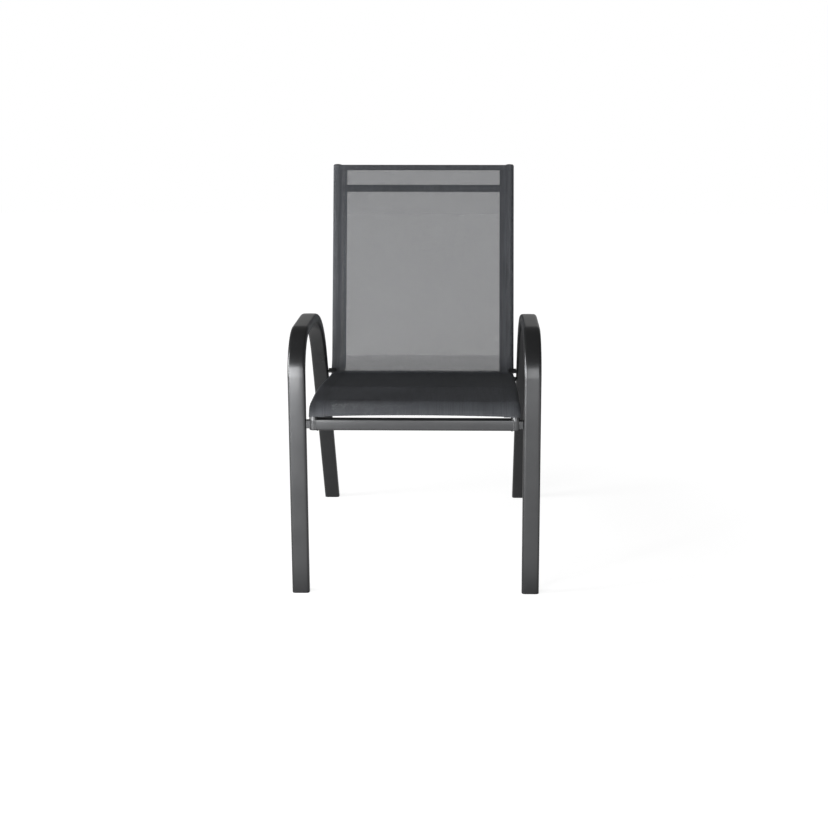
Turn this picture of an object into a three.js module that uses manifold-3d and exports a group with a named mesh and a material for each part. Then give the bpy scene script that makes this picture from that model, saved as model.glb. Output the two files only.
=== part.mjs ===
// A stacking sling patio chair: two bent side frames, two L-shaped sling rails with three cross
// tubes between them, the brackets that join rails to legs, and the mesh sling stretched over it all.
// Millimetres. +X is to the right as one faces the chair, -Y is the front, +Z is up, and the origin
// is on the floor under the middle of the chair.

import * as THREE from 'three';
import { mergeVertices } from 'three/addons/utils/BufferGeometryUtils.js';
import Module from 'manifold-3d';

const wasm = await Module();
wasm.setup();

// Overall sizes
const overallWidth = 560;
const overallDepth = 721;
const armHeight = 600;
const railTopHeight = 923;

// Side frames: one flat tube each, bent into front leg, arm and raked rear leg
const frameWidth = 39;
const frameThickness = 21;
const frameCorner = 7;
const frameWall = 1.5;
const frontBendRadius = 90;
const rearBendRadius = 255;
const rearRake = THREE.MathUtils.degToRad(29.15);

// Sling rails: round tube, down at the front end, along the seat and up the back
const railDiameter = 20;
const railWall = 1.2;
const seatRailHeight = 430;
const railEndDrop = 46;
const seatLevelRun = 155.5;
const seatSlope = THREE.MathUtils.degToRad(6.6);
const seatCornerPlace = 153.5;
const backRecline = THREE.MathUtils.degToRad(13.74);
const waterfallRadius = 28;
const seatDipRadius = 250;
const seatBackRadius = 60;

// Cross tubes between the rails. Drops are from the rails' top ends and from their seat run
const topTubeDiameter = 19;
const topTubeDrop = 58;
const rearTubeDiameter = 19;
const rearTubeSetIn = 27.5;
const crossTubeWall = 1.2;
const frontBarHeight = 27;
const frontBarDepth = 18;
const frontBarCorner = 5;
const frontBarWall = 1.5;
const frontBarDrop = 35.5;

// Brackets between the rails and the side frames
const saddleDepth = 14;
const saddleHeight = 18;
const saddleReach = 6;
const tabThickness = 3;
const tabLength = 20;
const tabLap = 2;

// Sling: mesh cloth with a sleeve sewn along each side
const clothThickness = 1;
const sleeveBand = 38;
const sideGap = 5.2;
const frontEdgeTurn = THREE.MathUtils.degToRad(16);
const frontEdgeStep = 1;
const frontEdgeBow = 2;
// Hems, and the grid of openings between them that gives the web the openness of its weave
const frontHem = 34;
const topHem = 12;
const openingColumns = 12;
const openingRows = 12;
const openingWidthShare = 0.3;
const openingLengthShare = 0.74;

// Moulded foot glides
const glideSole = 4;
const glideInsert = 20;
const glideWall = 2;
const glideRib = 2;
const glideRibGap = 5;
const glideRibHeight = 0.9;

// Moulded plugs in the ends of the rails
const plugHead = 1.4;
const plugCrown = 1.6;
const plugInsert = 14;
const plugWall = 1.8;
// Where the crown turns over, out from the middle and up from the head
const crownTurnShare = 0.72;
const crownTurnRiseShare = 0.78;

// Clearances, and how far a cutter runs past what it cuts
const seatClearance = 0.3;
const sleeveClearance = 0.6;
const tabSideClearance = 1;
const cutOverrun = 15;

// Facets. An arc in an outline has two facets for each of its divisions
const bendStep = THREE.MathUtils.degToRad(10);
const roundFacets = 18;
const roundDivisions = roundFacets / 2;
const cornerDivisions = 2;
const insertDivisions = 1;
const sleeveDivisions = 6;
// Places nearer to each other than this share of a path count as one
const nearShare = 1e-7;

// Places worked out from the sizes above
const innerFace = overallWidth / 2 - frameWidth;
const framePlace = overallWidth / 2 - frameWidth / 2;
const railRadius = railDiameter / 2;
const sleeveInner = railRadius + sleeveClearance;
const sleeveOuter = sleeveInner + clothThickness;
const railPlace = innerFace - sideGap - sleeveOuter;
const frontPlace = -overallDepth / 2 + frameThickness / 2;
const rearFootPlace = overallDepth / 2 - frameThickness / 2 / Math.cos(rearRake);
const railEndHeight = seatRailHeight - railEndDrop;
const frontBarMiddle = seatRailHeight - frontBarDrop;
const topTubeHeight = railTopHeight - topTubeDrop;
const rearTubePlace = seatCornerPlace - rearTubeSetIn;

// A path that bends only in an upright fore-and-aft plane: straight runs joined by round bends. Its
// steps fall at the ends of the runs and at equal turns round each bend, and its sections stay level
// from side to side. Trims shorten either end, or lengthen it below zero, without moving other steps.
class BentPath extends THREE.Curve {
  constructor(side, corners, radii, startTrim = 0, endTrim = 0) {
    super();
    this.side = side;
    this.pieces = BentPath.layOut(corners, radii);
    this.length = this.pieces.reduce((sum, piece) => sum + piece.length, 0);
    this.startTrim = startTrim;
    this.endTrim = endTrim;
    this.stops = this.layStops();
  }

  static layOut(corners, radii) {
    const pieces = [];
    let from = corners[0];
    radii.forEach((radius, index) => {
      const corner = corners[index + 1];
      const inward = corner.clone().sub(corners[index]).normalize();
      const outward = corners[index + 2].clone().sub(corner).normalize();
      const turn = Math.atan2(inward.cross(outward), inward.dot(outward));
      const reach = radius * Math.tan(Math.abs(turn) / 2);
      const start = corner.clone().addScaledVector(inward, -reach);
      const hand = Math.sign(turn);
      const centre = start.clone().add(new THREE.Vector2(-inward.y, inward.x).multiplyScalar(hand * radius));
      pieces.push({ start: from, heading: inward, length: start.distanceTo(from) });
      pieces.push({ centre, radius, turn, length: radius * Math.abs(turn), angle: start.sub(centre).angle() });
      from = corner.clone().addScaledVector(outward, reach);
    });
    const last = corners[corners.length - 1];
    pieces.push({ start: from, heading: last.clone().sub(from).normalize(), length: last.distanceTo(from) });
    return pieces;
  }

  layStops() {
    const first = this.startTrim;
    const last = this.length - this.endTrim;
    const marks = [];
    let along = 0;
    for (const piece of this.pieces) {
      const parts = piece.radius ? Math.ceil(Math.abs(piece.turn) / bendStep - nearShare) : 1;
      for (let part = 1; part <= parts; part++) marks.push(along + (piece.length * part) / parts);
      along += piece.length;
    }
    marks.pop();
    const near = this.length * nearShare;
    return [first, ...marks.filter((mark) => mark > first + near && mark < last - near), last];
  }

  // Place and heading, as fore-and-aft and up, at a distance from the untrimmed start
  at(distance) {
    let left = distance;
    let index = 0;
    while (index < this.pieces.length - 1 && left > this.pieces[index].length) {
      left -= this.pieces[index].length;
      index++;
    }
    const piece = this.pieces[index];
    if (!piece.radius) {
      return { place: piece.start.clone().addScaledVector(piece.heading, left), heading: piece.heading.clone() };
    }
    const angle = piece.angle + (piece.turn * left) / piece.length;
    const spoke = new THREE.Vector2(Math.cos(angle), Math.sin(angle));
    const heading = new THREE.Vector2(-spoke.y, spoke.x).multiplyScalar(Math.sign(piece.turn));
    return { place: piece.centre.clone().addScaledVector(spoke, piece.radius), heading };
  }

  get steps() {
    return this.stops.length - 1;
  }

  atShare(share) {
    const step = share * this.steps;
    const index = Math.min(Math.floor(step), this.steps - 1);
    return this.at(THREE.MathUtils.lerp(this.stops[index], this.stops[index + 1], step - index));
  }

  getUtoTmapping(share) {
    return share;
  }

  getPoint(share, target = new THREE.Vector3()) {
    const { place } = this.atShare(share);
    return target.set(this.side, place.x, place.y);
  }

  getTangent(share, target = new THREE.Vector3()) {
    const { heading } = this.atShare(share);
    return target.set(0, heading.x, heading.y);
  }

  computeFrenetFrames(steps) {
    const tangents = [];
    const normals = [];
    const binormals = [];
    for (let step = 0; step <= steps; step++) {
      tangents.push(this.getTangent(step / steps));
      normals.push(new THREE.Vector3(-1, 0, 0));
      binormals.push(new THREE.Vector3().crossVectors(tangents[step], normals[step]));
    }
    return { tangents, normals, binormals };
  }
}

// Outlines
function roundedRectangle(width, height, corner) {
  const shape = new THREE.Shape();
  const x = width / 2 - corner;
  const y = height / 2 - corner;
  shape.absarc(x, y, corner, 0, Math.PI / 2);
  shape.absarc(-x, y, corner, Math.PI / 2, Math.PI);
  shape.absarc(-x, -y, corner, Math.PI, Math.PI * 1.5);
  shape.absarc(x, -y, corner, Math.PI * 1.5, Math.PI * 2);
  shape.closePath();
  return shape;
}

// A rectangle as high as it is given, evenly above and below the line, and moved sideways
function rectangle(middle, width, height) {
  const shape = new THREE.Shape();
  shape.moveTo(middle - width / 2, -height / 2);
  shape.lineTo(middle + width / 2, -height / 2);
  shape.lineTo(middle + width / 2, height / 2);
  shape.lineTo(middle - width / 2, height / 2);
  shape.closePath();
  return shape;
}

function disc(radius) {
  const shape = new THREE.Shape();
  shape.absarc(0, 0, radius, 0, Math.PI * 2);
  return shape;
}

function flatTubeOutline(width, height, corner, wall) {
  const shape = roundedRectangle(width, height, corner);
  shape.holes.push(roundedRectangle(width - wall * 2, height - wall * 2, corner - wall));
  return shape;
}

function roundTubeOutline(diameter, wall) {
  const shape = disc(diameter / 2);
  shape.holes.push(disc(diameter / 2 - wall));
  return shape;
}

// Solids
function sweep(outline, path, curveSegments) {
  return new THREE.ExtrudeGeometry(outline, { extrudePath: path, steps: path.steps, curveSegments });
}

function extrude(outline, depth, curveSegments) {
  return new THREE.ExtrudeGeometry(outline, { depth, bevelEnabled: false, curveSegments });
}

function toSolid(geometry) {
  const bare = geometry.clone();
  bare.deleteAttribute('normal');
  bare.deleteAttribute('uv');
  const merged = mergeVertices(bare);
  return new wasm.Manifold(new wasm.Mesh({
    numProp: 3,
    vertProperties: new Float32Array(merged.getAttribute('position').array),
    triVerts: new Uint32Array(merged.getIndex().array),
  }));
}

function toGeometry(solid) {
  const mesh = solid.getMesh();
  const geometry = new THREE.BufferGeometry();
  geometry.setAttribute('position', new THREE.BufferAttribute(mesh.vertProperties, 3));
  geometry.setIndex(new THREE.BufferAttribute(mesh.triVerts, 1));
  geometry.computeVertexNormals();
  return geometry;
}

function block(width, depth, height, x, y, z) {
  return new THREE.BoxGeometry(width, depth, height).translate(x, y, z);
}

function cut(geometry, ...cutters) {
  return toGeometry(cutters.reduce((solid, cutter) => solid.subtract(toSolid(cutter)), toSolid(geometry)));
}

// Turns a geometry so that its own X, Y and Z lie across the chair, along a path and off the path on
// the sitter's side, and moves it to a place on that path
function seatOnPath(geometry, side, spot) {
  const across = new THREE.Vector3(1, 0, 0);
  const along = new THREE.Vector3(0, spot.heading.x, spot.heading.y);
  const off = new THREE.Vector3().crossVectors(across, along);
  const frame = new THREE.Matrix4().makeBasis(across, along, off);
  frame.setPosition(side, spot.place.x, spot.place.y);
  return geometry.applyMatrix4(frame);
}

// Finishes
const charcoalCoat = { color: 0x3b3d40, roughness: 0.38, metalness: 0.35 };
const blackPlastic = { color: 0x232426, roughness: 0.6, metalness: 0 };
const greyMesh = { color: 0x44474b, roughness: 0.75, metalness: 0 };

const chair = new THREE.Group();

function addPiece(name, geometry, finish) {
  const mesh = new THREE.Mesh(geometry, new THREE.MeshStandardMaterial(finish));
  mesh.name = name;
  chair.add(mesh);
}

// The side to the left as one faces the chair is -1
const sides = [['left', -1], ['right', 1]];

// Side frames
const armLine = armHeight - frameThickness / 2;
const rearFootRun = Math.tan(rearRake);
const rearLegPlace = (height) => rearFootPlace - height * rearFootRun;
const legCut = glideSole + seatClearance;

function sideFrame(side) {
  const corners = [
    new THREE.Vector2(frontPlace, -cutOverrun),
    new THREE.Vector2(frontPlace, armLine),
    new THREE.Vector2(rearLegPlace(armLine), armLine),
    new THREE.Vector2(rearLegPlace(-cutOverrun), -cutOverrun),
  ];
  const path = new BentPath(side * framePlace, corners, [frontBendRadius, rearBendRadius]);
  const outline = flatTubeOutline(frameWidth, frameThickness, frameCorner, frameWall);
  const floorDepth = cutOverrun * 3;
  const floor = block(frameWidth * 2, overallDepth * 2, floorDepth, side * framePlace, 0, legCut - floorDepth / 2);
  return cut(sweep(outline, path, cornerDivisions), floor);
}

// Foot glides: a sole the shape of the leg's cut end, and a hollow ribbed insert up inside the leg
function footGlide(side, footPlace, rake) {
  const stretch = 1 / Math.cos(rake);
  const slant = new THREE.Matrix4().set(1, 0, 0, 0, 0, 1, -Math.tan(rake), 0, 0, 0, 1, 0, 0, 0, 0, 1);
  const layer = (shrink, corner, bottom, height) => {
    const outline = roundedRectangle(frameWidth - shrink * 2, frameThickness - shrink * 2, corner);
    const solid = extrude(outline, height, shrink ? insertDivisions : cornerDivisions);
    solid.scale(1, stretch, 1).translate(0, 0, bottom).applyMatrix4(slant);
    return toSolid(solid.translate(side * framePlace, footPlace, 0));
  };
  const ribShrink = frameWall + seatClearance;
  const ribCorner = frameCorner - ribShrink;
  const bodyShrink = ribShrink + glideRibHeight;
  const bodyCorner = frameCorner - bodyShrink;
  const coreShrink = bodyShrink + glideWall;
  const coreCorner = frameCorner - coreShrink;
  const lap = glideSole / 2;
  const insertTop = glideSole + glideInsert;
  let solid = layer(0, frameCorner, 0, glideSole);
  solid = solid.add(layer(bodyShrink, bodyCorner, lap, insertTop - lap));
  for (let rib = glideSole + glideRibGap; rib + glideRib < insertTop; rib += glideRibGap + glideRib) {
    solid = solid.add(layer(ribShrink, ribCorner, rib, glideRib));
  }
  return toGeometry(solid.subtract(layer(coreShrink, coreCorner, glideSole, insertTop)));
}

for (const [name, side] of sides) {
  addPiece(`side_frame_${name}`, sideFrame(side), charcoalCoat);
  addPiece(`foot_glide_front_${name}`, footGlide(side, frontPlace, 0), blackPlastic);
  addPiece(`foot_glide_rear_${name}`, footGlide(side, rearFootPlace, rearRake), blackPlastic);
}

// Sling rails
const slopeStart = frontPlace + seatLevelRun;
const seatCornerHeight = seatRailHeight - (seatCornerPlace - slopeStart) * Math.tan(seatSlope);
const railTopPlace = seatCornerPlace + (railTopHeight - seatCornerHeight) * Math.tan(backRecline);
const railCorners = [
  new THREE.Vector2(frontPlace, railEndHeight),
  new THREE.Vector2(frontPlace, seatRailHeight),
  new THREE.Vector2(slopeStart, seatRailHeight),
  new THREE.Vector2(seatCornerPlace, seatCornerHeight),
  new THREE.Vector2(railTopPlace, railTopHeight),
];
const railRadii = [waterfallRadius, seatDipRadius, seatBackRadius];
const railPath = (side, startTrim, endTrim) =>
  new BentPath(side * railPlace, railCorners, railRadii, startTrim, endTrim);
const middleLine = railPath(0);

// Where the rail's line passes a given height or a given fore-and-aft place, searched between two distances
function distanceWhere(reached, from, to) {
  let low = from;
  let high = to;
  while (high - low > middleLine.length * nearShare) {
    const middle = (low + high) / 2;
    if (reached(middleLine.at(middle).place)) high = middle;
    else low = middle;
  }
  return (low + high) / 2;
}

const seatStart = middleLine.pieces[0].length;
const backStart = middleLine.length - middleLine.pieces[middleLine.pieces.length - 1].length;
const rearTubeSpot = middleLine.at(distanceWhere((place) => place.x > rearTubePlace, seatStart, backStart));
const topTubeSpot = middleLine.at(distanceWhere((place) => place.y > topTubeHeight, backStart, middleLine.length));

function railPlug(side, spot, outwardSign) {
  const stem = railRadius - railWall - seatClearance;
  const bore = stem - plugWall;
  const shoulder = seatClearance;
  const profile = [
    new THREE.Vector2(0, shoulder),
    new THREE.Vector2(bore, shoulder),
    new THREE.Vector2(bore, -plugInsert),
    new THREE.Vector2(stem, -plugInsert),
    new THREE.Vector2(stem, shoulder),
    new THREE.Vector2(railRadius, shoulder),
    new THREE.Vector2(railRadius, shoulder + plugHead),
    new THREE.Vector2(railRadius * crownTurnShare, shoulder + plugHead + plugCrown * crownTurnRiseShare),
    new THREE.Vector2(0, shoulder + plugHead + plugCrown),
  ];
  const geometry = new THREE.LatheGeometry(profile, roundFacets);
  if (outwardSign < 0) geometry.rotateX(Math.PI);
  return seatOnPath(geometry, side * railPlace, spot);
}

for (const [name, side] of sides) {
  const outline = roundTubeOutline(railDiameter, railWall);
  addPiece(`sling_rail_${name}`, sweep(outline, railPath(side), roundDivisions), charcoalCoat);
  addPiece(`rail_top_plug_${name}`, railPlug(side, middleLine.at(middleLine.length), 1), blackPlastic);
  addPiece(`rail_front_plug_${name}`, railPlug(side, middleLine.at(0), -1), blackPlastic);
}

// Cross tubes, each with its ends shaped to the round of the rails and of the plugs below them
function railEnvelope(side) {
  const corners = [railCorners[0].clone().setY(railEndHeight - cutOverrun), ...railCorners.slice(1)];
  const path = new BentPath(side * railPlace, corners, railRadii);
  return sweep(disc(railRadius + seatClearance), path, roundDivisions);
}

function crossTube(outline, spot, divisions) {
  const length = railPlace * 2;
  const tube = extrude(outline, length, divisions);
  tube.translate(0, 0, -length / 2).rotateY(Math.PI / 2);
  return cut(seatOnPath(tube, 0, spot), railEnvelope(-1), railEnvelope(1));
}

const topTube = crossTube(roundTubeOutline(topTubeDiameter, crossTubeWall), topTubeSpot, roundDivisions);
const rearTube = crossTube(roundTubeOutline(rearTubeDiameter, crossTubeWall), rearTubeSpot, roundDivisions);
const frontBarOutline = flatTubeOutline(frontBarHeight, frontBarDepth, frontBarCorner, frontBarWall);
const frontBarSpot = { place: new THREE.Vector2(frontPlace, frontBarMiddle), heading: new THREE.Vector2(1, 0) };
addPiece('top_crossbar', topTube, charcoalCoat);
addPiece('rear_crossbar', rearTube, charcoalCoat);
addPiece('front_crossbar', crossTube(frontBarOutline, frontBarSpot, cornerDivisions), charcoalCoat);

// Front saddles: blocks hollowed to the rail's upright end, against the inside of the front leg
function frontSaddle(side) {
  const legFace = innerFace - seatClearance;
  const inboard = railPlace + saddleReach;
  const width = legFace - inboard;
  const saddle = block(width, saddleDepth, saddleHeight, side * (inboard + width / 2), frontPlace, frontBarMiddle);
  return cut(saddle, railEnvelope(side));
}

// Rear tabs: two short plates on each rear leg that hold the rail from above and from below
const tabBulge = tabLength ** 2 / 8 / (seatBackRadius - railRadius);
const tabRise = railRadius + seatClearance + tabThickness / 2;

function rearTab(side, level) {
  const legFace = innerFace - seatClearance;
  const inboard = railPlace - tabLap;
  const width = legFace - inboard;
  const rise = level > 0 ? tabRise + tabBulge : -tabRise;
  const plate = new THREE.BoxGeometry(width, tabLength, tabThickness).translate(0, 0, rise);
  return seatOnPath(plate, side * (inboard + width / 2), rearTubeSpot);
}

for (const [name, side] of sides) {
  addPiece(`front_saddle_${name}`, frontSaddle(side), charcoalCoat);
  addPiece(`rear_tab_upper_${name}`, rearTab(side, 1), charcoalCoat);
  addPiece(`rear_tab_lower_${name}`, rearTab(side, -1), charcoalCoat);
}

// Sling: one section, a flat web with a sleeve round each rail, carried along the rails' line
const sleeveSeam = sleeveBand - sleeveOuter;
const sleeveLean = Math.atan2(sleeveOuter, sleeveSeam);
// The angle, with the outer side of the rail at 0, at which the sleeve's back layer leaves the tube
const sleeveTurnEnd = -Math.PI / 2 - sleeveLean * 2;

function slingOutline() {
  const webEdge = railPlace - sleeveSeam + clothThickness / Math.tan(sleeveLean * 2);
  const shape = new THREE.Shape();
  shape.moveTo(-railPlace, sleeveOuter);
  shape.lineTo(railPlace, sleeveOuter);
  shape.absarc(railPlace, 0, sleeveOuter, Math.PI / 2, sleeveTurnEnd, true);
  shape.lineTo(webEdge, sleeveInner);
  shape.lineTo(-webEdge, sleeveInner);
  shape.absarc(-railPlace, 0, sleeveOuter, Math.PI - sleeveTurnEnd, Math.PI / 2, true);
  shape.closePath();
  return shape;
}

// The hollow inside one sleeve, with its seam towards the middle of the chair, run out past both ends
function sleeveCavity(side) {
  const seam = sleeveSeam * (sleeveInner / sleeveOuter);
  const turnEnd = side > 0 ? Math.PI - sleeveTurnEnd : sleeveTurnEnd;
  const shape = new THREE.Shape();
  shape.moveTo(side * seam, sleeveInner);
  shape.lineTo(0, sleeveInner);
  shape.absarc(0, 0, sleeveInner, Math.PI / 2, turnEnd, side < 0);
  shape.closePath();
  return sweep(shape, railPath(side, 0, -cutOverrun), sleeveDivisions);
}

const slingStart = seatStart + waterfallRadius * frontEdgeTurn;
const slingPath = new BentPath(0, railCorners, railRadii, slingStart);
const webWidth = (railPlace - sleeveSeam) * 2;
const cutterDepth = clothThickness + cutOverrun;

// Seats a cutter of the web at a distance along the rails' line
function cutterOnWeb(shapes, distance) {
  const cutter = extrude(shapes, cutterDepth, roundDivisions);
  cutter.translate(0, 0, (sleeveInner + sleeveOuter - cutterDepth) / 2);
  return seatOnPath(cutter, 0, middleLine.at(distance));
}

// The front edge is cut back between the sleeves, by a step at each seam and a shallow bow
function frontBowCutter() {
  const halfWidth = webWidth / 2;
  const bowRadius = (halfWidth ** 2 + frontEdgeBow ** 2) / 2 / frontEdgeBow;
  const halfTurn = Math.asin(halfWidth / bowRadius);
  const shape = new THREE.Shape();
  const bowMiddle = frontEdgeStep + frontEdgeBow - bowRadius;
  shape.absarc(0, bowMiddle, bowRadius, Math.PI / 2 - halfTurn, Math.PI / 2 + halfTurn);
  shape.lineTo(-halfWidth, -cutOverrun);
  shape.lineTo(halfWidth, -cutOverrun);
  shape.closePath();
  return cutterOnWeb(shape, slingStart);
}

// One row of openings across the web for each step from the front hem to the top hem
function openingCutters() {
  const gridStart = slingStart + frontHem;
  const rowPitch = (middleLine.length - topHem - gridStart) / openingRows;
  const columnPitch = webWidth / openingColumns;
  const cutters = [];
  for (let row = 0; row < openingRows; row++) {
    const openings = [];
    for (let column = 0; column < openingColumns; column++) {
      const middle = (column + 0.5) * columnPitch - webWidth / 2;
      openings.push(rectangle(middle, columnPitch * openingWidthShare, rowPitch * openingLengthShare));
    }
    cutters.push(cutterOnWeb(openings, gridStart + (row + 0.5) * rowPitch));
  }
  return cutters;
}

// Openings in the sleeves where the cross tubes reach the rails
function tubeCutter(diameter, spot) {
  const radius = diameter / 2 + (sleeveInner - diameter / 2) / 2;
  const length = railPlace * 2;
  const cutter = new THREE.CylinderGeometry(radius, radius, length, roundFacets).rotateZ(Math.PI / 2);
  return seatOnPath(cutter, 0, spot);
}

// Openings in the outer halves of the sleeves where the rear tabs hold the rails
function tabCutter(side) {
  const width = sleeveOuter + tabLap + tabSideClearance;
  const height = (tabRise + tabThickness) * 2;
  const cutter = new THREE.BoxGeometry(width * 2, tabLength + tabSideClearance * 2, height);
  return seatOnPath(cutter, side * (railPlace + width - tabLap - tabSideClearance), rearTubeSpot);
}

const slingCutters = [
  sleeveCavity(-1),
  sleeveCavity(1),
  frontBowCutter(),
  ...openingCutters(),
  tubeCutter(topTubeDiameter, topTubeSpot),
  tubeCutter(rearTubeDiameter, rearTubeSpot),
  tabCutter(-1),
  tabCutter(1),
];
addPiece('sling', cut(sweep(slingOutline(), slingPath, sleeveDivisions), ...slingCutters), greyMesh);

export default chair;
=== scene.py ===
"""Looks of a stacking sling patio chair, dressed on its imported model.

Metres. +X is to the right as one faces the chair, -Y is the front, +Z is up, and the origin is on the
floor under the middle of the chair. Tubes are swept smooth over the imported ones, and the sling is a
net of real yarns, sewn round its rails.
"""

import cmath
import logging
import math
from dataclasses import dataclass, field
from enum import Enum, IntEnum
from typing import Iterable, Sequence

import bpy
import numpy as np
from bpy.types import ID, Material, NodeSocket, NodeTree, Object
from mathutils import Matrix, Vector


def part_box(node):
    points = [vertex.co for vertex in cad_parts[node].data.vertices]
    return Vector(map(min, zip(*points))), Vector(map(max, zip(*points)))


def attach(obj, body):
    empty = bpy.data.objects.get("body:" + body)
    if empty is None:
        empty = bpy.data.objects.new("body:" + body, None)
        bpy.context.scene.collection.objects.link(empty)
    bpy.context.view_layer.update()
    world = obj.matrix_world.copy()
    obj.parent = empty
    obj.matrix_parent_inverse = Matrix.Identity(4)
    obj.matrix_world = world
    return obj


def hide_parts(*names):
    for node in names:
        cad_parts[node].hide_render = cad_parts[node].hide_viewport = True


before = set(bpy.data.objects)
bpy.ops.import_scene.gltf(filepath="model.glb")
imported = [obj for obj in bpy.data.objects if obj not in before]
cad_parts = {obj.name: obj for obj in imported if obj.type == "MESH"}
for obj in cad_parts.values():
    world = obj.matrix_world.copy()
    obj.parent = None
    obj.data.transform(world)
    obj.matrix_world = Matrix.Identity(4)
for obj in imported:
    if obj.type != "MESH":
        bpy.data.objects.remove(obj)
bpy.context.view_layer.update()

log = logging.getLogger("sling_chair")

MM = 0.001
BODY = "root"
SQUARE = ((-1, -1), (1, -1), (1, 1), (-1, 1))
# The attribute of a line's points that holds which way they face
FACING = "facing"
# How far the outside of a packed sleeve stands off its rail
SLEEVE_REACH = 1.6 * MM

Array = np.ndarray
Numbers = tuple[float, ...]
Spans = list[tuple[float, float]]


class Slot(Enum):
    """The record's material slots."""

    COAT = "charcoal_coat"
    PLASTIC = "black_plastic"
    MESH = "grey_mesh"


class Side(IntEnum):
    """The sides of the chair as one faces it, by their signs across."""

    LEFT = -1
    MIDDLE = 0
    RIGHT = 1


class Way(Enum):
    """The ways in the upright fore-and-aft plane, by the part of a complex place."""

    AFT = "real"
    UP = "imag"


class Ray(Enum):
    """The kinds of ray that the floor and the surroundings tell apart."""

    CAMERA = "Is Camera Ray"
    GLOSSY = "Is Glossy Ray"
    TRANSMISSION = "Is Transmission Ray"


SIDES = (("left", Side.LEFT), ("right", Side.RIGHT))


# Node trees


class Wire:
    """A socket that adds its Math nodes as Python sums use it."""

    def __init__(self, bench: "Bench", socket: NodeSocket | None) -> None:
        """Keeps the socket and the tree it is in."""
        self.bench = bench
        self.socket = socket

    def math(self, operation: str, *values: "Wire | float") -> "Wire":
        """Returns the value of one Math node, by Blender's name of the operation."""
        return self.bench.add("ShaderNodeMath", dict(enumerate(values)), operation=operation)

    def __add__(self, other: "Wire | float") -> "Wire":
        """Returns the sum of both."""
        return self.math("ADD", self, other)

    def __sub__(self, other: "Wire | float") -> "Wire":
        """Returns this less the other."""
        return self.math("SUBTRACT", self, other)

    def __rsub__(self, other: float) -> "Wire":
        """Returns the other less this."""
        return self.math("SUBTRACT", other, self)

    def __mul__(self, other: "Wire | float") -> "Wire":
        """Returns the product of both."""
        return self.math("MULTIPLY", self, other)

    __radd__ = __add__
    __rmul__ = __mul__

    def clamped(self) -> "Wire":
        """Returns this, held between 0 and 1."""
        return self.bench.add("ShaderNodeClamp", {"Value": self})

    def smooth_step(self, low: float, high: float) -> "Wire":
        """Returns 0 below low and 1 above high, with a soft ramp between."""
        ramp = {"Value": self, "From Min": low, "From Max": high}
        return self.bench.add("ShaderNodeMapRange", ramp, interpolation_type="SMOOTHSTEP")


class Bench:
    """A node tree, and the one way that nodes are added to it."""

    def __init__(self, tree: NodeTree) -> None:
        """Keeps the tree, emptied."""
        self.tree = tree
        tree.nodes.clear()

    @staticmethod
    def socket(sockets: Iterable[NodeSocket], key: "str | int") -> NodeSocket:
        """Finds a socket.

        Args:
            sockets: The inputs or outputs of a node.
            key: The socket's number, identifier or name.

        Returns:
            The socket, one in use where several have the name.
        """
        found = list(sockets)
        if isinstance(key, int):
            return found[key]
        return next(s for s in found if s.identifier == key or (s.name == key and s.enabled))

    def add(
        self, kind: str, inputs: "dict | None" = None, output: "str | int" = 0, **settings: object
    ) -> Wire:
        """Adds a node.

        Args:
            kind: The node's type.
            inputs: Values or wires, by the socket's number, identifier or name.
            output: Which of its outputs to return.
            settings: Properties of the node, set before its sockets.

        Returns:
            The chosen output.
        """
        node = self.tree.nodes.new(kind)
        for name, value in settings.items():
            setattr(node, name, value)
        for key, value in (inputs or {}).items():
            socket = self.socket(node.inputs, key)
            if isinstance(value, Wire):
                self.tree.links.new(value.socket, socket)
            else:
                socket.default_value = value
        outputs = list(node.outputs)
        return Wire(self, self.socket(outputs, output) if outputs else None)


@dataclass(frozen=True)
class Grain:
    """Soft noise: its patches' width, the finer layers on them, and how many times as long they run."""

    size: float
    layers: float = 2.0
    run: float = 1.0


class Shader(Bench):
    """A material under construction."""

    def __init__(self, name: str) -> None:
        """Starts a material with an empty tree.

        Args:
            name: The material's name.
        """
        self.material = bpy.data.materials.new(name)
        self.material.use_nodes = True
        super().__init__(self.material.node_tree)

    def place(self) -> Wire:
        """Returns the place on the piece."""
        return self.add("ShaderNodeTexCoord", output="Object")

    def noise(self, grain: Grain) -> Wire:
        """Adds noise from 0 to 1, whose long patches run along the warp.

        Args:
            grain: What the noise is like.

        Returns:
            The noise.
        """
        scale = (1, 1 / grain.run, 1 / grain.run)
        place = self.add("ShaderNodeMapping", {"Vector": self.place(), "Scale": scale})
        inputs = {"Vector": place, "Scale": 1 / grain.size, "Detail": grain.layers}
        return self.add("ShaderNodeTexNoise", inputs)

    def mixed(self, share: Wire, first: Numbers, second: Numbers) -> Wire:
        """Returns a colour between two, by a share from 0 to 1."""
        inputs = {"Factor_Float": share, "A_Color": (*first, 1), "B_Color": (*second, 1)}
        return self.add("ShaderNodeMix", inputs, "Result_Color", data_type="RGBA")

    def bumped(self, height: Wire, distance: float) -> Wire:
        """Returns a normal that follows a height from 0 to 1, over a distance."""
        return self.add("ShaderNodeBump", {"Height": height, "Distance": distance})

    def close(self, surface: Wire) -> Material:
        """Ends the material with its surface and returns it."""
        self.add("ShaderNodeOutputMaterial", {"Surface": surface})
        return self.material


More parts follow.
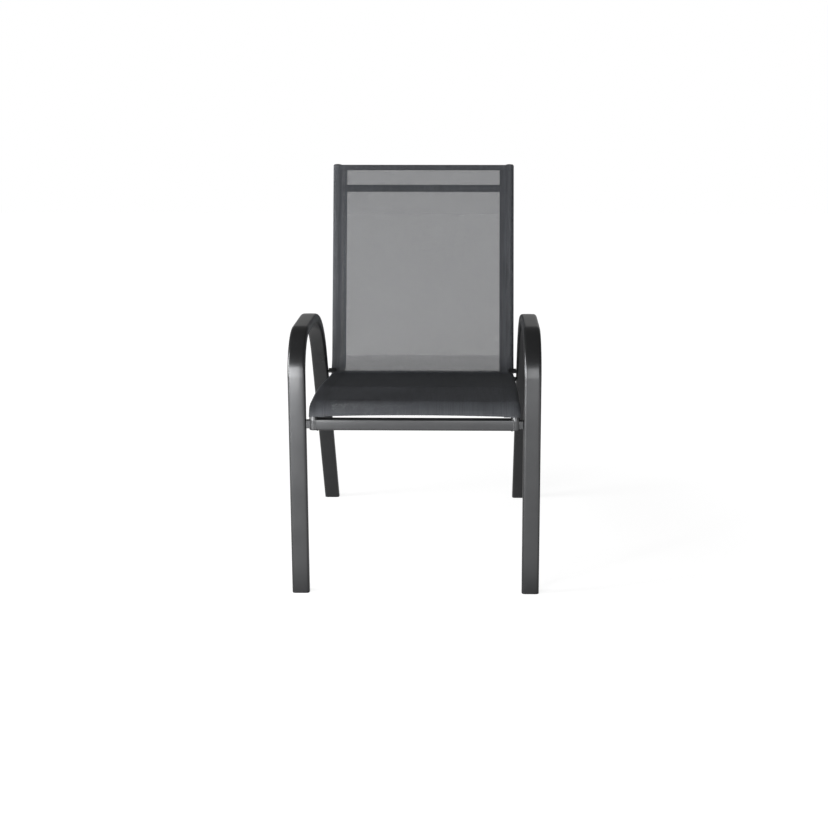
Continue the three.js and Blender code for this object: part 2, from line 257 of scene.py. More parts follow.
class ShapeTree(Bench):
    """A Geometry Nodes tree that is worked out once on loose lines and leaves a plain mesh."""

    def __init__(self, name: str, *sizes: str) -> None:
        """Starts a tree with a shape, its sizes and its finish as named inputs.

        Args:
            name: The tree's name.
            sizes: The names of its sizes.
        """
        super().__init__(bpy.data.node_groups.new(name, "GeometryNodeTree"))
        face = self.tree.interface
        kinds = {"Shape": "Geometry"} | {size: "Float" for size in sizes} | {"Finish": "Material"}
        for key, kind in kinds.items():
            face.new_socket(key, in_out="INPUT", socket_type=f"NodeSocket{kind}")
        face.new_socket("Shape", in_out="OUTPUT", socket_type="NodeSocketGeometry")
        self.group = self.tree.nodes.new("NodeGroupInput")

    def given(self, name: str) -> Wire:
        """Returns a named input of the tree."""
        return Wire(self, self.socket(self.group.outputs, name))

    def spot(self, **axes: "Wire | float") -> Wire:
        """Returns a place from its sizes on the axes."""
        return self.add("ShaderNodeCombineXYZ", axes)

    def facing(self) -> Wire:
        """Returns the way that each point of the lines faces."""
        kind = "GeometryNodeInputNamedAttribute"
        return self.add(kind, {"Name": FACING}, "Attribute", data_type="FLOAT_VECTOR")

    def lines(self) -> Wire:
        """Makes curves of the given lines.

        Returns:
            Curves that face as their points do.
        """
        curve = self.add("GeometryNodeMeshToCurve", {"Mesh": self.given("Shape")})
        inputs = {"Curve": curve, "Normal": self.facing()}
        return self.add("GeometryNodeSetCurveNormal", inputs, mode="FREE")

    def spaced(self, gap: Wire) -> Wire:
        """Returns the given lines with points at even gaps."""
        inputs = {"Curve": self.lines(), "Length": gap}
        return self.add("GeometryNodeResampleCurve", inputs, mode="LENGTH")

    def circle(self, facets: int, radius: "Wire | float") -> Wire:
        """Returns a circle."""
        return self.add("GeometryNodeCurvePrimitiveCircle", {"Resolution": facets, "Radius": radius})

    def swept(self, curve: Wire, section: Wire, **more: Wire) -> Wire:
        """Returns a section carried along a curve, closed at both ends."""
        inputs = {"Curve": curve, "Profile Curve": section, "Fill Caps": True}
        return self.add("GeometryNodeCurveToMesh", inputs | more)

    def close(self, shape: Wire) -> "ShapeTree":
        """Ends the tree, smooth, real and in its finish.

        Args:
            shape: What it has made.

        Returns:
            The tree itself.
        """
        smooth = self.add("GeometryNodeSetShadeSmooth", {"Geometry": shape, "Shade Smooth": True})
        real = self.add("GeometryNodeRealizeInstances", {"Geometry": smooth})
        dressed = self.add("GeometryNodeSetMaterial", {"Geometry": real, "Material": self.given("Finish")})
        self.add("NodeGroupOutput", {"Shape": dressed})
        return self

    def work(self, piece: Object, finish: Material, **sizes: float) -> Object:
        """Works the tree out on a piece.

        Args:
            piece: The object that holds the lines. Its mesh is replaced.
            finish: The material of what the tree makes.
            sizes: Values of the tree's named sizes.

        Returns:
            The same object, with a plain mesh and no modifier.
        """
        modifier = piece.modifiers.new("work", "NODES")
        modifier.node_group = self.tree
        values = sizes | {"Finish": finish}
        for item in self.tree.interface.items_tree:
            if item.name in values:
                modifier[item.identifier] = values[item.name]
        bpy.context.view_layer.update()
        graph = bpy.context.evaluated_depsgraph_get()
        made = bpy.data.meshes.new_from_object(piece.evaluated_get(graph))
        piece.modifiers.remove(modifier)
        old, piece.data = piece.data, made
        made.name = piece.name
        bpy.data.meshes.remove(old)
        return piece


def yarn_tree(facets: int = 4) -> ShapeTree:
    """Makes a tree that turns each line into a yarn with a flattened round section.

    Args:
        facets: Sides of the yarn.

    Returns:
        The tree.
    """
    tree = ShapeTree("yarns", "Width", "Thickness")
    scale = tree.spot(X=tree.given("Thickness"), Y=tree.given("Width"), Z=1.0)
    section = tree.add("GeometryNodeTransform", {"Geometry": tree.circle(facets, 0.5), "Scale": scale})
    return tree.close(tree.swept(tree.lines(), section))


def stitch_tree(facets: int = 5, bends: int = 4) -> ShapeTree:
    """Makes a tree that sews short raised stitches along each line.

    Args:
        facets: Sides of the thread.
        bends: Straight parts of a stitch's arch.

    Returns:
        The tree.
    """
    tree = ShapeTree("stitches", "Pitch", "Length", "Thread", "Rise")
    half = tree.given("Length") * 0.5
    # The arch rises half as high as its middle handle
    arch = tree.add("GeometryNodeCurveQuadraticBezier", {
        "Resolution": bends,
        "Start": tree.spot(X=half * -1),
        "Middle": tree.spot(Z=tree.given("Rise") * 2),
        "End": tree.spot(X=half),
    })
    stitch = tree.swept(arch, tree.circle(facets, tree.given("Thread") * 0.5))
    ways = {"Primary Axis": tree.facing(), "Secondary Axis": tree.add("GeometryNodeInputTangent")}
    turn = tree.add("FunctionNodeAxesToRotation", ways, primary_axis="Z", secondary_axis="X")
    row = {"Points": tree.spaced(tree.given("Pitch")), "Instance": stitch, "Rotation": turn}
    return tree.close(tree.add("GeometryNodeInstanceOnPoints", row))


def bead_tree(facets: int = 7, points: int = 4, swelling: float = 0.1) -> ShapeTree:
    """Makes a tree that lays a rippled weld bead along each line.

    Args:
        facets: Sides of the bead.
        points: Rings of each ripple.
        swelling: How far a ripple swells, as a share of the radius.

    Returns:
        The tree.
    """
    tree = ShapeTree("weld_beads", "Radius", "Ripple")
    turn = tree.add("GeometryNodeInputIndex") * (math.tau / points)
    swell = 1.0 + turn.math("SINE", turn) * swelling
    laid = tree.spaced(tree.given("Ripple") * (1 / points))
    return tree.close(tree.swept(laid, tree.circle(facets, tree.given("Radius")), Scale=swell))


# Finishes


@dataclass(frozen=True)
class Finish:
    """What all finishes have: two tones, and a roughness with its spread."""

    name: str
    dark: Numbers
    light: Numbers
    roughness: float
    roughness_spread: float = 0.2

    def dressed(self, shader: Shader, tone: Wire, grain: Wire, more: "dict | None" = None) -> Material:
        """Ends a material with this finish.

        Args:
            shader: The material under construction.
            tone: From 0 for the dark tone to 1 for the light one.
            grain: Noise that spreads the roughness.
            more: Values or wires of more sockets.

        Returns:
            The finished material.
        """
        inputs = {
            "Base Color": shader.mixed(tone, self.dark, self.light),
            "Roughness": self.roughness + (grain - 0.5) * self.roughness_spread,
        }
        return shader.close(shader.add("ShaderNodeBsdfPrincipled", inputs | (more or {})))


@dataclass(frozen=True)
class PowderCoat(Finish):
    """Satin charcoal powder coat on steel: finely pebbled, slightly clouded, with a clear skin."""

    name: str = "charcoal_powder_coat"
    dark: Numbers = (0.049, 0.050, 0.052)
    light: Numbers = (0.067, 0.068, 0.070)
    roughness: float = 0.29
    roughness_spread: float = 0.08
    metallic: float = 0.85
    gloss: float = 0.3
    gloss_roughness: float = 0.1
    cloud: Grain = Grain(60 * MM, layers=3)
    pebble: Grain = Grain(0.9 * MM, layers=1)
    pebble_height: float = 0.012 * MM

    def material(self) -> Material:
        """Makes the coat.

        Returns:
            The finished material.
        """
        shader = Shader(self.name)
        cloud = shader.noise(self.cloud)
        return self.dressed(shader, cloud, cloud, {
            "Metallic": self.metallic,
            "Coat Weight": self.gloss,
            "Coat Roughness": self.gloss_roughness,
            "Normal": shader.bumped(shader.noise(self.pebble), self.pebble_height),
        })


@dataclass(frozen=True)
class MouldedPlastic(Finish):
    """Black moulded plastic with a fine spark-eroded grain, slightly mottled."""

    name: str = "black_moulded_plastic"
    dark: Numbers = (0.012, 0.012, 0.013)
    light: Numbers = (0.022, 0.022, 0.024)
    roughness: float = 0.55
    grain: Grain = Grain(0.5 * MM)
    grain_height: float = 0.02 * MM
    mottle: Grain = Grain(15 * MM)

    def material(self) -> Material:
        """Makes the plastic.

        Returns:
            The finished material.
        """
        shader = Shader(self.name)
        grain = shader.noise(self.grain)
        relief = {"Normal": shader.bumped(grain, self.grain_height)}
        return self.dressed(shader, shader.noise(self.mottle), grain, relief)


@dataclass(frozen=True)
class CoatedYarn(Finish):
    """Plastic-coated polyester yarn: slight streaks from yarn to yarn, along the warp."""

    name: str = "coated_yarn"
    dark: Numbers = (0.059, 0.063, 0.070)
    light: Numbers = (0.094, 0.099, 0.110)
    roughness: float = 0.5
    streak: Grain = Grain(1.5 * MM, run=60)
    contrast: Numbers = (0.3, 0.7)

    def material(self) -> Material:
        """Makes the yarn.

        Returns:
            The finished material.
        """
        shader = Shader(self.name)
        streaks = shader.noise(self.streak)
        return self.dressed(shader, streaks.smooth_step(*self.contrast), streaks)


@dataclass(frozen=True)
class SewingThread(Finish):
    """Twisted polyester thread, darker than the yarn."""

    name: str = "sewing_thread"
    dark: Numbers = (0.018, 0.018, 0.020)
    light: Numbers = (0.030, 0.030, 0.033)
    roughness: float = 0.6
    twist: Grain = Grain(0.4 * MM, layers=1)

    def material(self) -> Material:
        """Makes the thread.

        Returns:
            The finished material.
        """
        shader = Shader(self.name)
        twist = shader.noise(self.twist)
        return self.dressed(shader, twist, twist)


# Lines and outlines. A place in an upright fore-and-aft plane is a complex number: fore-and-aft is its
# real part and up its imaginary one. An outline's point is one too: across is real, and off the line,
# on the sitter's side, is imaginary


def unit(way: complex) -> complex:
    """Returns a way one metre long."""
    return way / abs(way)


def in_space(across: "Array | float", places: Array) -> Array:
    """Returns points from their places across and in the upright plane, as an array's last axis."""
    return np.stack(np.broadcast_arrays(across, places.real, places.imag), -1)


class BentPath:
    """A line of straight runs joined by round bends."""

    # Steps of a search, and the decimals that stops are rounded to
    halvings: int = 40
    digits: int = 7

    def __init__(self, corners: Sequence[complex], radii: Sequence[float]) -> None:
        """Lays the runs and bends out.

        Args:
            corners: Its two ends and the corners between, as if it were not rounded.
            radii: The radius of the bend at each corner.
        """
        starts, ways, lengths, turns = [], [], [], []
        at = corners[0]
        for before, corner, after, radius in zip(corners, corners[1:], corners[2:], radii):
            inward, outward = unit(corner - before), unit(after - corner)
            turn = cmath.phase(outward / inward)
            reach = radius * math.tan(abs(turn) / 2)
            bend = corner - inward * reach
            starts += [at, bend]
            ways += [inward, inward]
            lengths += [abs(bend - at), radius * abs(turn)]
            turns += [0.0, turn]
            at = corner + outward * reach
        self.starts = np.array([*starts, at])
        self.ways = np.array([*ways, unit(corners[-1] - at)])
        self.turns = np.array([*turns, 0.0])
        self.lengths = np.array([*lengths, abs(corners[-1] - at)])
        self.ends = np.cumsum(self.lengths)
        self.length = float(self.ends[-1])

    def at(self, distance: "Array | float") -> tuple[Array, Array]:
        """Finds places on the line, which goes straight on past both ends.

        Args:
            distance: Distances from the start.

        Returns:
            The places and the line's ways there.
        """
        distance = np.asarray(distance, float)
        index = np.clip(np.searchsorted(self.ends, distance), 0, len(self.ends) - 1)
        left = distance - (self.ends[index] - self.lengths[index])
        rate = self.turns[index] / self.lengths[index]
        bent = np.abs(rate) > 0
        swing = 1j * np.where(bent, rate, 1.0)
        run = np.where(bent, (np.exp(swing * left) - 1) / swing, left)
        return self.starts[index] + self.ways[index] * run, self.ways[index] * np.exp(1j * rate * left)

    def stops(self, step: float, start: float = 0.0) -> Array:
        """Lays out stops at the ends of the runs and at even turns round the bends.

        Args:
            step: The turn from one stop to the next, in radians.
            start: The first stop.

        Returns:
            Their distances from the line's start.
        """
        marks = [start, self.length]
        for stop, length, turn in zip(self.ends, self.lengths, self.turns):
            parts = max(1, math.ceil(abs(turn) / step))
            marks.extend(np.linspace(stop - length, stop, parts + 1))
        marks = np.unique(np.round(marks, self.digits))
        return marks[marks >= start - 10**-self.digits]

    def where(self, way: Way, goal: complex) -> float:
        """Finds where the line goes past a place, after its first run.

        Args:
            way: The way that is compared.
            goal: The place.

        Returns:
            The distance from the line's start.
        """
        low, high = float(self.ends[0]), self.length
        for _ in range(self.halvings):
            middle = (low + high) / 2
            passed = getattr(complex(self.at(middle)[0]), way.value) > getattr(goal, way.value)
            low, high = (low, middle) if passed else (middle, high)
        return high


def arc(centre: complex, radius: float, start: float, end: float, steps: int) -> Array:
    """Returns points on an arc between two angles in degrees."""
    angles = np.radians(np.linspace(start, end, steps + 1))
    return centre + radius * np.exp(1j * angles)


def round_outline(radius: float, steps: int = 40) -> Array:
    """Returns a circle of points, anticlockwise."""
    return arc(0, radius, 0, 360, steps)[:-1]


def flat_outline(width: float, height: float, corner: float, crown: float = 0.0) -> Array:
    """Makes a rounded rectangle.

    Args:
        width: Its size across.
        height: Its size off the line.
        corner: The radius of its corners.
        crown: How far the middle of each broad side stands out.

    Returns:
        Its points, anticlockwise.
    """
    corner_steps, side_steps = 7, 7
    x, y = width / 2 - corner, height / 2 - corner
    shares = np.linspace(-1, 1, side_steps + 1)[1:-1]
    points: "list[complex]" = []
    for half in (1, -1):
        points += [*half * arc(complex(x, y), corner, 0, 90, corner_steps)]
        points += [*half * (-shares * x + 1j * (y + corner + crown * (1 - shares**2)))]
        points += [*half * arc(complex(-x, y), corner, 90, 180, corner_steps)]
    return np.array(points)


def rings(path: BentPath, stops: Array, outline: Array, across: float) -> Array:
    """Carries an outline along a path.

    Args:
        path: The line it follows.
        stops: Distances along it.
        outline: Points of the section.
        across: How far to the right the line lies.

    Returns:
        Points, as stops by outline by three.
    """
    places, ways = path.at(stops)
    return in_space(across + outline.real, places[:, None] + 1j * ways[:, None] * outline.imag)


class Packed:
    """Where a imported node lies. Its centre and size are places in the upright fore-and-aft plane."""

    def __init__(self, node: str) -> None:
        """Reads the node's box.

        Args:
            node: The node's name.
        """
        low, high = self.low, self.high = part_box(node)
        self.width = high.x - low.x
        self.across = (low.x + high.x) / 2
        self.centre = complex(low.y + high.y, low.z + high.z) / 2
        self.size = complex(high.y - low.y, high.z - low.z)


# Meshes


def in_scene(name: str, data: ID) -> Object:
    """Sets a new object in the scene.

    Args:
        name: The object's name.
        data: The mesh, lamp or camera that it holds.

    Returns:
        The object.
    """
    item = bpy.data.objects.new(name, data)
    bpy.context.scene.collection.objects.link(item)
    return item


@dataclass
class Solid:
    """Points and faces of one piece, as they are gathered."""

    points: list[Array] = field(default_factory=list)
    faces: list[tuple[int, ...]] = field(default_factory=list)
    count: int = 0

    def rim(self, low: int, high: int, around: int, flip: bool) -> None:
        """Joins two rings of points with a round of faces.

        Args:
            low: The number of the first ring's first point.
            high: The number of the second one's.
            around: How many points a ring has.
            flip: Whether the faces turn the other way.
        """
        for step in range(around):
            after = (step + 1) % around
            self.face((low + step, low + after, high + after, high + step), flip)

    def face(self, corners: Iterable[int], flip: bool) -> None:
        """Adds a face, turned the other way if asked."""
        face = tuple(corners)
        self.faces.append(face[::-1] if flip else face)

    def skin(self, grid: Array, flip: bool = False) -> tuple[int, int]:
        """Joins each ring of a grid to the next.

        Args:
            grid: Points, as rings by points by three.
            flip: Whether the faces turn the other way.

        Returns:
            The numbers of the first points of its first and last rings.
        """
        first, (count, around) = self.count, grid.shape[:2]
        self.points.append(grid.reshape(-1, 3))
        self.count += count * around
        firsts = range(first, self.count, around)
        for low, high in zip(firsts, firsts[1:]):
            self.rim(low, high, around, flip)
        return firsts[0], firsts[-1]

    def tube(self, outer: Array, inner: Array) -> "Solid":
        """Adds an open tube with a wall.

        Args:
            outer: The rings of its outside.
            inner: The rings of its bore.

        Returns:
            The solid itself.
        """
        outside, inside = self.skin(outer), self.skin(inner, flip=True)
        for out, within, flip in zip(outside, inside, (True, False)):
            self.rim(out, within, outer.shape[1], flip)
        return self

    def bar(self, grid: Array) -> "Solid":
        """Adds a closed bar.

        Args:
            grid: Its rings.

        Returns:
            The solid itself.
        """
        for first, flip in zip(self.skin(grid), (True, False)):
            self.face(range(first, first + grid.shape[1]), flip)
        return self

    def piece(self, name: str, finish: Material, sharp: float = 35.0) -> Object:
        """Makes the object.

        Args:
            name: The piece's name.
            finish: Its material.
            sharp: The angle in degrees past which an edge stays sharp.

        Returns:
            An object at the origin, with its faces pointing outwards.
        """
        points = np.concatenate(self.points)
        inside_out = self.volume(points) < 0
        faces = [face[::-1] for face in self.faces] if inside_out else self.faces
        mesh = bpy.data.meshes.new(name)
        mesh.from_pydata(points.tolist(), [], faces)
        mesh.materials.append(finish)
        mesh.shade_smooth()
        mesh.set_sharp_from_angle(angle=math.radians(sharp))
        return in_scene(name, mesh)

    def volume(self, points: Array) -> float:
        """Measures the inside of the faces.

        Args:
            points: All points, in order.

        Returns:
            Six times the volume, below zero where the faces point inwards.
        """
        fans = [(face[0], b, c) for face in self.faces for b, c in zip(face[1:], face[2:])]
        a, b, c = (points[list(corner)] for corner in zip(*fans))
        return float((a * np.cross(b, c)).sum())


@dataclass
class Lines:
    """Loose lines for a tree to work on, with the way that each of their points faces."""

    points: list[Array] = field(default_factory=list)
    ways: list[Array] = field(default_factory=list)

    def add(self, points: Array, ways: Array) -> None:
        """Adds a line."""
        self.points.append(points)
        self.ways.append(ways)

    def piece(self, name: str, closed: bool = False) -> Object:
        """Makes the object.

        Args:
            name: The piece's name.
            closed: Whether each line is a loop.

        Returns:
            An object that holds only points and edges.
        """
        mesh = bpy.data.meshes.new(name)
        edges, first = [], 0
        for line in self.points:
            run = np.arange(first, first + len(line))
            edges.append(np.stack([run, np.roll(run, -1)], 1)[: None if closed else -1])
            first += len(line)
        mesh.from_pydata(np.concatenate(self.points).tolist(), np.concatenate(edges).tolist(), [])
        facing = mesh.attributes.new(FACING, "FLOAT_VECTOR", "POINT")
        facing.data.foreach_set("vector", np.concatenate(self.ways).astype(np.float32).ravel())
        return in_scene(name, mesh)


def hand_over(piece: Object, slot: Slot, *nodes: str) -> None:
    """Sets a finished piece on the chair.

    Args:
        piece: The finished object.
        slot: The record's slot that its finish belongs to.
        nodes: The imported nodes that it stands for.
    """
    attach(piece, BODY)
    if nodes:
        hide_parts(*nodes)
    log.info("%s: %d faces, %s", piece.name, len(piece.data.polygons), slot.value)


# Sub-assemblies


@dataclass
class SideFrames:
    """Two flat tubes, each bent into front leg, arm and raked rear leg."""

    thickness: float = 21 * MM
    corner: float = 7 * MM
    crown: float = 0.35 * MM
    wall: float = 1.5 * MM
    front_radius: float = 90 * MM
    rear_radius: float = 255 * MM
    rake: float = math.radians(29.15)
    step: float = math.radians(3)

    def __post_init__(self) -> None:
        """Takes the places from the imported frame."""
        packed = Packed("side_frame_right")
        self.width = packed.width
        self.middle = packed.across
        self.inner_face = packed.low.x
        self.cut = packed.low.z
        self.front = packed.low.y + self.thickness / 2
        self.rear = Packed("foot_glide_rear_right").high.y - self.thickness / 2 / math.cos(self.rake)
        arm = packed.high.z - self.thickness / 2
        lean = math.tan(self.rake)
        corners = (
            complex(self.front, self.cut),
            complex(self.front, arm),
            complex(self.rear - arm * lean, arm),
            complex(self.rear - self.cut * lean, self.cut),
        )
        self.path = BentPath(corners, (self.front_radius, self.rear_radius))

    def wall_rings(self, outline: Array, side: Side) -> Array:
        """Carries an outline along one frame, and slides its end until it lies level at the cut.

        Args:
            outline: The outer or inner outline of the tube.
            side: Which side it is on.

        Returns:
            Points, as rings by outline by three.
        """
        grid = rings(self.path, self.path.stops(self.step), outline, side * self.middle)
        way = self.path.ways[-1]
        short = (self.cut - grid[-1, :, 2]) / way.imag
        grid[-1, :, 1] += short * way.real
        grid[-1, :, 2] = self.cut
        return grid

    def build(self, coat: Material) -> None:
        """Makes both frames.

        Args:
            coat: Their finish.
        """
        wall = self.wall * 2
        outlines = (
            flat_outline(self.width, self.thickness, self.corner, self.crown),
            flat_outline(self.width - wall, self.thickness - wall, self.corner - self.wall),
        )
        for name, side in SIDES:
            solid = Solid().tube(*(self.wall_rings(outline, side) for outline in outlines))
            hand_over(solid.piece(f"bent_frame_{name}", coat), Slot.COAT, f"side_frame_{name}")


@dataclass
class FootGlides:
    """Moulded glides in the four leg ends: a sole with eased edges and an insert up inside the leg."""

    frames: SideFrames
    sole: float = 4 * MM
    # The sole's eased edge, and shares of it: its rounding, and the smaller ease of the upper edge
    ease: float = 0.9 * MM
    round_share: float = 0.3
    top_ease_share: float = 0.4
    insert: float = 20 * MM
    insert_gap: float = 0.4 * MM
    sharp: float = 30.0

    def build(self, plastic: Material) -> None:
        """Makes the four glides.

        Args:
            plastic: Their finish.
        """
        legs = (("front", self.frames.front, 0.0), ("rear", self.frames.rear, self.frames.rake))
        for name, side in SIDES:
            for end, place, rake in legs:
                solid = Solid().bar(self.layers(side * self.frames.middle, place, rake))
                piece = solid.piece(f"{end}_glide_{name}", plastic, self.sharp)
                hand_over(piece, Slot.PLASTIC, f"foot_glide_{end}_{name}")

    def layers(self, across: float, place: float, rake: float) -> Array:
        """Lays out the rings of one glide, from the floor up.

        Args:
            across: The middle of the leg, from side to side.
            place: The middle of the leg at the floor, from front to back.
            rake: How far the leg leans back from upright.

        Returns:
            Points, as rings by outline by three.
        """
        frames = self.frames
        rounding = self.ease * self.round_share
        top_ease = self.ease * self.top_ease_share
        inside = frames.wall + self.insert_gap
        heights = (
            (0.0, self.ease),
            (rounding, rounding),
            (self.ease, 0.0),
            (self.sole - top_ease, 0.0),
            (self.sole, top_ease),
            (self.sole, inside),
            (self.sole + self.insert, inside),
        )
        grid = []
        for height, less in heights:
            width, thickness = frames.width - less * 2, frames.thickness - less * 2
            outline = flat_outline(width, thickness, frames.corner - less)
            y = place - height * math.tan(rake) + outline.imag / math.cos(rake)
            grid.append(in_space(across + outline.real, y + 1j * height))
        return np.array(grid)


@dataclass
class SlingRails:
    """Two round tubes that stretch the sling, with domed plugs in their ends."""

    wall: float = 1.2 * MM
    level_run: float = 155.5 * MM
    slope: float = math.radians(6.6)
    corner_place: float = 153.5 * MM
    recline: float = math.radians(13.74)
    waterfall_radius: float = 28 * MM
    dip_radius: float = 250 * MM
    back_radius: float = 60 * MM
    step: float = math.radians(3)
    plug_insert: float = 10 * MM
    plug_gap: float = 0.3 * MM
    plug_head: float = 1.4 * MM
    plug_crown: float = 1.6 * MM
    # How far round its dome a plug's crown goes, in radians
    crown_turn: float = 1.45
    crown_rings: int = 9
    plug_facets: int = 32
    plug_sharp: float = 40.0

    def __post_init__(self) -> None:
        """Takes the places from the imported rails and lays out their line."""
        packed = Packed("sling_rail_right")
        self.radius = packed.width / 2
        self.across = packed.across
        front = packed.low.y + self.radius
        foot = Packed("rail_front_plug_right").low.z + self.plug_gap + self.plug_head + self.plug_crown
        seat = self.seat_height(front + self.level_run / 2)
        dip = complex(front + self.level_run, seat)
        fall = (self.corner_place - dip.real) * math.tan(self.slope)
        corner = complex(self.corner_place, seat - fall)
        back_way = cmath.rect(1, math.pi / 2 - self.recline)
        top = packed.high.z - self.radius * math.sin(self.recline)
        end = corner + back_way * (top - corner.imag) / back_way.imag
        corners = (complex(front, foot), complex(front, seat), dip, corner, end)
        self.path = BentPath(corners, (self.waterfall_radius, self.dip_radius, self.back_radius))

    def seat_height(self, middle: float) -> float:
        """Finds the height of the level run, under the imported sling's top.

        Args:
            middle: The middle of that run, from front to back.

        Returns:
            The height of the rails' line.
        """
        spots = (vertex.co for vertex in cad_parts["sling"].data.vertices)
        top = max(spot.z for spot in spots if abs(spot.y - middle) < self.level_run / 2)
        return top - SLEEVE_REACH - self.radius

    def build(self, coat: Material, plastic: Material) -> None:
        """Makes both rails and their four plugs.

        Args:
            coat: The rails' finish.
            plastic: The plugs' finish.
        """
        stops = self.path.stops(self.step)
        outlines = (round_outline(self.radius), round_outline(self.radius - self.wall))
        for name, side in SIDES:
            walls = (rings(self.path, stops, outline, side * self.across) for outline in outlines)
            rail = Solid().tube(*walls).piece(f"bent_rail_{name}", coat)
            hand_over(rail, Slot.COAT, f"sling_rail_{name}")
            for end, distance, outward in (("top", self.path.length, 1), ("front", 0.0, -1)):
                solid = Solid().bar(self.plug(distance, outward, side))
                piece = solid.piece(f"{end}_plug_{name}", plastic, self.plug_sharp)
                hand_over(piece, Slot.PLASTIC, f"rail_{end}_plug_{name}")

    def plug(self, distance: float, outward: int, side: Side) -> Array:
        """Lays out the rings of one plug.

        Args:
            distance: Where along the rail its end is.
            outward: 1 at the far end of the rail and -1 at its start.
            side: Which side it is on.

        Returns:
            Points, as rings by outline by three.
        """
        bore = self.radius - self.wall - self.plug_gap
        turns = np.linspace(0, self.crown_turn, self.crown_rings)
        crown = zip(self.radius * np.cos(turns), self.plug_head + self.plug_crown * np.sin(turns))
        place, way = self.path.at(distance)
        grid = []
        for radius, rise in ((bore, -self.plug_insert), (bore, 0.0), (self.radius, 0.0), *crown):
            outline = round_outline(radius, self.plug_facets)
            centre = place + way * outward * (self.plug_gap + rise)
            grid.append(in_space(side * self.across + outline.real, centre + 1j * way * outline.imag))
        return np.array(grid)


@dataclass
class CrossTubes:
    """Three tubes between the rails, with their ends shaped to the round of the rails."""

    rails: SlingRails
    wall: float = 1.2 * MM
    flat_wall: float = 1.5 * MM
    flat_corner: float = 5 * MM
    rings_across: int = 3

    def __post_init__(self) -> None:
        """Takes the round tubes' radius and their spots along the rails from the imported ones."""
        top, rear = Packed("top_crossbar"), Packed("rear_crossbar")
        self.radius = top.size.imag / 2
        path = self.rails.path
        self.spots = {
            "top_crossbar": path.where(Way.UP, top.centre),
            "rear_crossbar": path.where(Way.AFT, rear.centre),
        }
        self.joints = Lines()

    def build(self, coat: Material) -> None:
        """Makes the three tubes.

        Args:
            coat: Their finish.
        """
        outlines = (round_outline(self.radius), round_outline(self.radius - self.wall))
        for node, name in (("top_crossbar", "back_tube"), ("rear_crossbar", "seat_tube")):
            place, way = self.rails.path.at(self.spots[node])
            self.tube(name, node, place, way, outlines, coat)
        bar = Packed("front_crossbar")
        width, height = bar.size.real, bar.size.imag
        wall = self.flat_wall * 2
        flat = (
            flat_outline(width, height, self.flat_corner),
            flat_outline(width - wall, height - wall, self.flat_corner - self.flat_wall),
        )
        self.tube("front_bar", "front_crossbar", bar.centre, 1j, flat, coat)

    def tube(
        self,
        name: str,
        node: str,
        centre: complex,
        rail_way: complex,
        outlines: Sequence[Array],
        coat: Material,
    ) -> None:
        """Makes one tube and notes its two joints.

        Args:
            name: The piece's name.
            node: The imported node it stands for.
            centre: Its middle, fore-and-aft and up.
            rail_way: The way of the rails where it meets them.
            outlines: Its outer and inner outline, fore-and-aft and up.
            coat: Its finish.
        """
        shares = np.linspace(-1, 1, self.rings_across)
        walls = []
        for outline in outlines:
            off = np.imag(np.conj(rail_way) * outline)
            reach = self.rails.across - np.sqrt(np.maximum(self.rails.radius**2 - off**2, 0))
            walls.append(in_space(np.outer(shares, reach), centre + outline))
        hand_over(Solid().tube(*walls).piece(name, coat), Slot.COAT, node)
        out = outlines[0] / np.abs(outlines[0])
        for end in (0, -1):
            self.joints.add(walls[0][end], in_space(0.0, out))


@dataclass
class Brackets:
    """What joins the rails to the legs: a saddle at each front leg and two tabs at each rear leg."""

    frames: SideFrames
    rails: SlingRails
    tubes: CrossTubes
    hollow_steps: int = 12
    tab_thickness: float = 3 * MM
    tab_length: float = 20 * MM
    tab_lap: float = 2 * MM
    tab_sharp: float = 20.0
    ease: float = 0.6 * MM
    ease_steps: int = 2
    ease_from: float = math.radians(40)

    def build(self, coat: Material) -> None:
        """Makes the two saddles and four tabs.

        Args:
            coat: Their finish.
        """
        for name, side in SIDES:
            saddle = self.saddle(f"front_saddle_{name}", side)
            self.eased(saddle.piece(f"saddle_{name}", coat), f"front_saddle_{name}")
            for level in ("upper", "lower"):
                node = f"rear_tab_{level}_{name}"
                piece = self.tab(node, side).piece(f"tab_{level}_{name}", coat, self.tab_sharp)
                self.eased(piece, node)

    def saddle(self, node: str, side: Side) -> Solid:
        """Shapes one saddle, a block hollowed to the rail's upright end.

        Args:
            node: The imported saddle.
            side: Which side it is on.

        Returns:
            The solid.
        """
        packed = Packed(node)
        half = packed.size.real / 2
        sweep = math.degrees(math.asin(half / self.rails.radius))
        hollow = arc(self.rails.across, self.rails.radius, sweep, -sweep, self.hollow_steps)
        face = self.frames.inner_face
        outline = np.array([*hollow, complex(face, -half), complex(face, half)])
        heights = np.array([[packed.low.z], [packed.high.z]])
        y = packed.centre.real + outline.imag
        return Solid().bar(in_space(side * outline.real, y + 1j * heights))

    def tab(self, node: str, side: Side) -> Solid:
        """Shapes one tab, a short plate along the rail.

        Args:
            node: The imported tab.
            side: Which side it is on.

        Returns:
            The solid.
        """
        place, way = self.rails.path.at(self.tubes.spots["rear_crossbar"])
        off = ((Packed(node).centre - place) / way).imag
        length, thickness = self.tab_length / 2, self.tab_thickness / 2
        plate = np.array([complex(a * length, off + b * thickness) for a, b in SQUARE])
        ends = np.array([[self.rails.across - self.tab_lap], [self.frames.inner_face]])
        return Solid().bar(in_space(side * ends, place + way * plate))

    def eased(self, piece: Object, node: str) -> None:
        """Eases the edges of a piece and hands it over.

        Args:
            piece: The saddle or tab.
            node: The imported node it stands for.
        """
        bevel = piece.modifiers.new("ease", "BEVEL")
        bevel.width = self.ease
        bevel.segments = self.ease_steps
        bevel.limit_method = "ANGLE"
        bevel.angle_limit = self.ease_from
        hand_over(piece, Slot.COAT, node)


